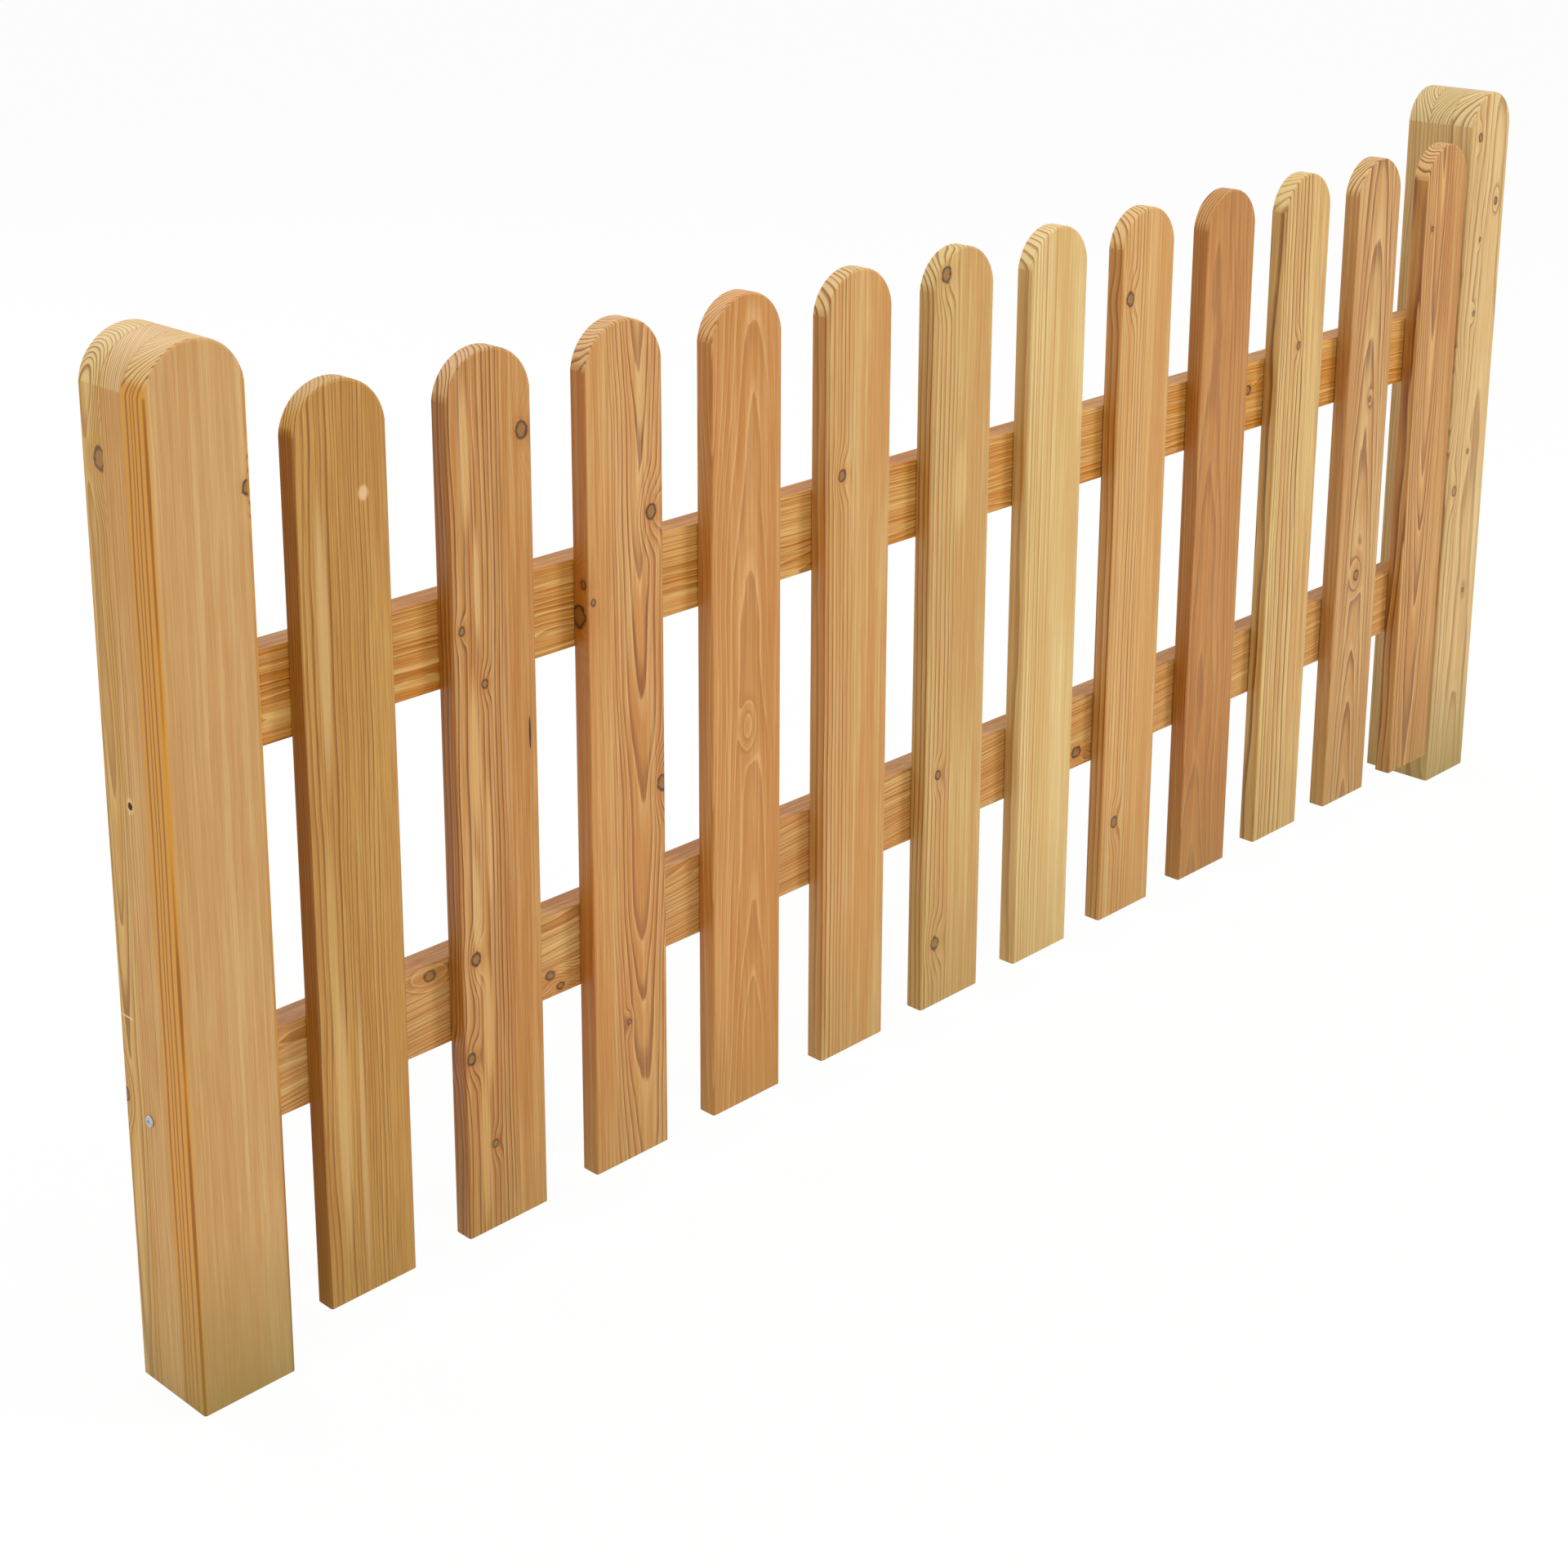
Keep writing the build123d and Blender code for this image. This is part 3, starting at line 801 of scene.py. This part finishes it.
def make_screw_rows(settings, material):
    """A tree that sets its input screw in two staggered rows along +X, each screw turned at random."""
    tree = bpy.data.node_groups.new("Screw rows", "GeometryNodeTree")
    tree.interface.new_socket("Screw", in_out="INPUT", socket_type="NodeSocketGeometry")
    sockets = {}
    for label, kind, default in (
        ("Count", "NodeSocketInt", settings.count), ("Pitch", "NodeSocketFloat", settings.pitch),
        ("First", "NodeSocketVector", (0.0, 0.0, 0.0)), ("Reach", "NodeSocketVector", (0.0, 0.0, 0.0)),
    ):
        sockets[label] = tree.interface.new_socket(label, in_out="INPUT", socket_type=kind)
        sockets[label].default_value = default
    tree.interface.new_socket("Screws", in_out="OUTPUT", socket_type="NodeSocketGeometry")
    ins = tree.nodes.new("NodeGroupInput").outputs
    step = add(tree, "CombineXYZ", ins["Pitch"], 0.0, 0.0)
    lines = []
    for way in ("SUBTRACT", "ADD"):
        start = add(tree, "VectorMath", ins["First"], ins["Reach"], operation=way)
        inputs = {"Count": ins["Count"], "Start Location": start, "Offset": step}
        lines.append(add(tree, "GeometryNodeMeshLine", inputs, mode="OFFSET"))
    joined = add(tree, "GeometryNodeJoinGeometry")
    for line in lines:
        tree.links.new(line.outputs[0], joined.inputs[0])
    inputs = {"Min": (0.0, 0.0, 0.0), "Max": (0.0, math.tau, 0.0), "Seed": TURN_SEED}
    turn = add(tree, "FunctionNodeRandomValue", inputs, data_type="FLOAT_VECTOR")
    inputs = {"Points": joined, "Instance": ins["Screw"], "Rotation": turn}
    set_out = add(tree, "GeometryNodeInstanceOnPoints", inputs)
    plain = add(tree, "GeometryNodeRealizeInstances", set_out)
    plated = add(tree, "GeometryNodeSetMaterial", {"Geometry": plain, "Material": material})
    add(tree, "NodeGroupOutput", plated)
    return tree, sockets


def finish_piece(name, mesh, node):
    """A piece of the object that stands for a CAD node."""
    piece = bpy.data.objects.new(name, mesh)
    bpy.context.scene.collection.objects.link(piece)
    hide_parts(node)
    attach(piece, "root")
    return piece


def set_rail_screws(settings, plating):
    """The screws that hold the pickets, in two rows along the back of each rail."""
    head = settings.head
    shank = PICKET_SCREW_RADIUS
    profile = [(head, 0.0), (head, PICKET_HEAD_EDGE), (shank, PICKET_HEAD_HEIGHT)]
    profile += [(0.95 * shank, PICKET_SCREW_LENGTH - POINT_LENGTH), (0.1 * shank, PICKET_SCREW_LENGTH)]
    recess = (0.5 * head, 0.36 * head, 1.8 * MM, 0.0)
    backwards = Matrix.Rotation(math.pi / 2, 4, "X")
    screw = screw_mesh("picket_screw", profile, 6, recess, backwards)
    tree, sockets = make_screw_rows(settings, plating)
    for rail in ("bottom_rail", "top_rail"):
        low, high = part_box(rail)
        host = bpy.data.objects.new("host", screw)
        bpy.context.scene.collection.objects.link(host)
        modifier = host.modifiers.new("rows", "NODES")
        modifier.node_group = tree
        start = low.x + settings.pitch / 2
        modifier[sockets["First"].identifier] = (start, high.y, (low.z + high.z) / 2)
        modifier[sockets["Reach"].identifier] = (settings.across, 0.0, settings.above)
        bpy.context.view_layer.update()
        evaluated = host.evaluated_get(bpy.context.evaluated_depsgraph_get())
        mesh = bpy.data.meshes.new_from_object(evaluated)
        host.modifiers.clear()
        bpy.data.objects.remove(host)
        mesh.name = f"{rail}_recessed_screws"
        finish_piece(mesh.name, mesh, f"{rail}_screws")


def set_side_screw(settings, plating):
    """The one bright screw in the left post's outer face, whose domed head stands on the face."""
    low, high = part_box("left_post_side_screw")
    middle = (low + high) / 2
    head = settings.side_head
    shank = SIDE_SCREW_RADIUS
    top = -SIDE_HEAD_HEIGHT
    profile = [(0.72 * head, top), (0.92 * head, -2.1 * MM), (head, -1.2 * MM), (head, 0.0)]
    profile += [(shank, 0.0), (shank, SIDE_SCREW_LENGTH - POINT_LENGTH), (0.1 * shank, SIDE_SCREW_LENGTH)]
    recess = (0.52 * head, 0.14 * head, 1.6 * MM, top)
    place = Matrix.Translation((low.x + SIDE_HEAD_HEIGHT, middle.y, middle.z))
    place = place @ Matrix.Rotation(math.pi / 2, 4, "Y") @ Matrix.Rotation(SIDE_SCREW_TURN, 4, "Z")
    mesh = screw_mesh("left_post_recessed_screw", profile, 4, recess, place)
    mesh.materials.append(plating)
    finish_piece(mesh.name, mesh, "left_post_side_screw")


# Stage, in metres and degrees. A light is its name, its place, the side of its square and its share of the
# key light's power.

LIGHTS = (
    ("key_light", (3.6, -3.6, 2.8), 1.4, 1.0),
    ("left_light", (-3.6, -1.6, 1.8), 3.0, 0.55),
    ("top_light", (0.9, -0.6, 4.2), 2.5, 0.5),
    ("back_light", (0.4, 3.8, 2.8), 3.0, 0.6),
)
LIGHT_TARGET = Vector((0.9, 0.0, 0.45))
SKY_COLOUR = (1.0, 0.985, 0.96, 1.0)
FLOOR_GLOW = 0.96

CAMERA_PLACE = (-1.0802, -1.7005, 1.3515)
CAMERA_ANGLES = (74.697, -0.225, -45.908)
SENSOR_WIDTH_MM = 36.0
FOCAL_LENGTH_MM = 61.21
SHIFT_UP = -0.22


def seen_ray(tree):
    """Whether a ray comes from the camera, or from a mirror or a glass in front of it."""
    rays = add(tree, "LightPath").outputs
    share = add(tree, "Math", rays["Is Camera Ray"], rays["Is Glossy Ray"], operation="MAXIMUM")
    return add(tree, "Math", share, rays["Is Transmission Ray"], operation="MAXIMUM")


def make_floor(settings):
    """A pale matt floor that the camera sees as nearly white, with a trace of the panel's shadow."""
    mesh = bpy.data.meshes.new("floor")
    shape = bmesh.new()
    bmesh.ops.create_grid(shape, x_segments=1, y_segments=1, size=settings.floor_size / 2)
    shape.to_mesh(mesh)
    shape.free()
    floor = bpy.data.objects.new("floor", mesh)
    bpy.context.scene.collection.objects.link(floor)
    material, tree = new_material("pale_floor")
    matt = add(tree, "BsdfDiffuse", {"Color": (*settings.floor_colour, 1.0)})
    glow = add(tree, "Emission", {"Color": WHITE, "Strength": 1.0})
    share = add(tree, "Math", seen_ray(tree), FLOOR_GLOW, operation="MULTIPLY")
    add(tree, "OutputMaterial", {"Surface": add(tree, "MixShader", share, matt, glow)})
    mesh.materials.append(material)


def make_world(settings):
    """An even light all round, which the camera sees as white."""
    world = bpy.data.worlds.new("studio")
    bpy.context.scene.world = world
    world.use_nodes = True
    tree = world.node_tree
    tree.nodes.clear()
    even = add(tree, "Background", {"Color": SKY_COLOUR, "Strength": settings.sky})
    blank = add(tree, "Background", {"Color": WHITE, "Strength": 1.0})
    add(tree, "OutputWorld", {"Surface": add(tree, "MixShader", seen_ray(tree), even, blank)})


def make_lights(settings):
    """Square studio lights that look at the middle of the panel."""
    for name, place, size, share in LIGHTS:
        lamp = bpy.data.lights.new(name, "AREA")
        lamp.size = size
        lamp.energy = settings.key * share
        item = bpy.data.objects.new(name, lamp)
        bpy.context.scene.collection.objects.link(item)
        item.location = place
        item.rotation_euler = (LIGHT_TARGET - item.location).to_track_quat("-Z", "Y").to_euler()


def make_camera():
    """A camera at the photograph's viewing angle."""
    lens = bpy.data.cameras.new("camera")
    lens.sensor_width = SENSOR_WIDTH_MM
    lens.lens = FOCAL_LENGTH_MM
    lens.shift_y = SHIFT_UP
    camera = bpy.data.objects.new("camera", lens)
    bpy.context.scene.collection.objects.link(camera)
    camera.location = CAMERA_PLACE
    camera.rotation_euler = Euler([math.radians(a) for a in CAMERA_ANGLES])
    bpy.context.scene.camera = camera


# Settings

class FenceTimberSettings(bpy.types.PropertyGroup):
    roughness: bpy.props.FloatProperty(
        name="Roughness", description="Roughness of the planed timber",
        default=0.55, min=0.1, max=1.0, subtype="FACTOR")
    grain: bpy.props.FloatProperty(
        name="Grain", description="How dark the latewood rings are",
        default=1.0, min=0.0, max=1.5, subtype="FACTOR")
    saturation: bpy.props.FloatProperty(
        name="Saturation", description="Depth of the timber's colour",
        default=1.1, min=0.0, max=2.0, subtype="FACTOR")
    brightness: bpy.props.FloatProperty(
        name="Brightness", description="Brightness of the timber",
        default=0.94, min=0.0, max=2.0, subtype="FACTOR")


class FenceScrewSettings(bpy.types.PropertyGroup):
    count: bpy.props.IntProperty(
        name="Pickets", description="Pickets that each rail's screws hold", default=12, min=1)
    pitch: bpy.props.FloatProperty(
        name="Pitch", description="Distance between pickets' middles", default=0.15, unit="LENGTH")
    across: bpy.props.FloatProperty(
        name="Across", description="Screw's distance from the picket's middle", default=0.023, unit="LENGTH")
    above: bpy.props.FloatProperty(
        name="Above", description="Screw's distance from the rail's middle", default=0.018, unit="LENGTH")
    head: bpy.props.FloatProperty(
        name="Head radius", description="Radius of a picket screw's head", default=0.004, unit="LENGTH")
    side_head: bpy.props.FloatProperty(
        name="Side head radius", description="Radius of the side screw's head", default=0.005, unit="LENGTH")


class FenceStageSettings(bpy.types.PropertyGroup):
    floor_size: bpy.props.FloatProperty(
        name="Floor size", description="Side of the pale floor", default=40.0, unit="LENGTH")
    floor_colour: bpy.props.FloatVectorProperty(
        name="Floor colour", description="Colour of the floor",
        default=linear("#f4f4f2")[:3], size=3, subtype="COLOR")
    sky: bpy.props.FloatProperty(
        name="Fill light", description="Strength of the even light all round", default=0.5, min=0.0)
    key: bpy.props.FloatProperty(
        name="Key light", description="Power of the key light", default=110.0, unit="POWER")


# Operators

class FENCE_OT_timber(bpy.types.Operator):
    """Make the groups of nodes that every board shares"""
    bl_idname = "fence.timber"
    bl_label = "Make timber"

    def execute(self, context):
        make_knot_group()
        make_ring_group()
        make_mark_group()
        return {"FINISHED"}


class FENCE_OT_pickets(bpy.types.Operator):
    """Dress the pickets in planed larch"""
    bl_idname = "fence.pickets"
    bl_label = "Dress pickets"

    def execute(self, context):
        for name in sorted(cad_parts):
            if name.startswith("picket_"):
                dress(name, board_material(name, context.scene.fence_timber))
        return {"FINISHED"}


class FENCE_OT_rails(bpy.types.Operator):
    """Dress the two rails"""
    bl_idname = "fence.rails"
    bl_label = "Dress rails"

    def execute(self, context):
        for name in ("bottom_rail", "top_rail"):
            dress(name, board_material(name, context.scene.fence_timber))
        return {"FINISHED"}


class FENCE_OT_posts(bpy.types.Operator):
    """Dress the lamellae of both posts"""
    bl_idname = "fence.posts"
    bl_label = "Dress posts"

    def execute(self, context):
        for name in sorted(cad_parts):
            if name.endswith("_lamella"):
                dress(name, board_material(name, context.scene.fence_timber))
        return {"FINISHED"}


class FENCE_OT_screws(bpy.types.Operator):
    """Set recessed screws in the backs of the rails and in the left post's outer face"""
    bl_idname = "fence.screws"
    bl_label = "Set screws"

    def execute(self, context):
        settings = context.scene.fence_screws
        plating = zinc_material()
        set_rail_screws(settings, plating)
        set_side_screw(settings, plating)
        return {"FINISHED"}


class FENCE_OT_stage(bpy.types.Operator):
    """Set up the floor, the light and the camera"""
    bl_idname = "fence.stage"
    bl_label = "Set up stage"

    def execute(self, context):
        settings = context.scene.fence_stage
        make_floor(settings)
        make_world(settings)
        make_lights(settings)
        make_camera()
        context.scene.view_settings.view_transform = "Standard"
        return {"FINISHED"}


class FENCE_PT_panel(bpy.types.Panel):
    """The fence panel's steps and settings"""
    bl_idname = "FENCE_PT_panel"
    bl_label = "Fence panel"
    bl_space_type = "VIEW_3D"
    bl_region_type = "UI"
    bl_category = "Fence"

    def draw(self, context):
        scene = context.scene
        for step in STEPS:
            self.layout.operator(step.bl_idname)
        for settings in (scene.fence_timber, scene.fence_screws, scene.fence_stage):
            for key in settings.__annotations__:
                self.layout.prop(settings, key)


STEPS = (FENCE_OT_timber, FENCE_OT_pickets, FENCE_OT_rails, FENCE_OT_posts, FENCE_OT_screws, FENCE_OT_stage)
SETTINGS = {
    "fence_timber": FenceTimberSettings,
    "fence_screws": FenceScrewSettings,
    "fence_stage": FenceStageSettings,
}
CLASSES = (*SETTINGS.values(), *STEPS, FENCE_PT_panel)


def register():
    for one in CLASSES:
        bpy.utils.register_class(one)
    for key, kind in SETTINGS.items():
        setattr(bpy.types.Scene, key, bpy.props.PointerProperty(type=kind))


def unregister():
    for key in SETTINGS:
        delattr(bpy.types.Scene, key)
    for one in reversed(CLASSES):
        bpy.utils.unregister_class(one)


def main():
    """Builds the looks in order."""
    register()
    bpy.ops.fence.timber()
    bpy.ops.fence.pickets()
    bpy.ops.fence.rails()
    bpy.ops.fence.posts()
    bpy.ops.fence.screws()
    bpy.ops.fence.stage()


if __name__ == "__main__":
    main()
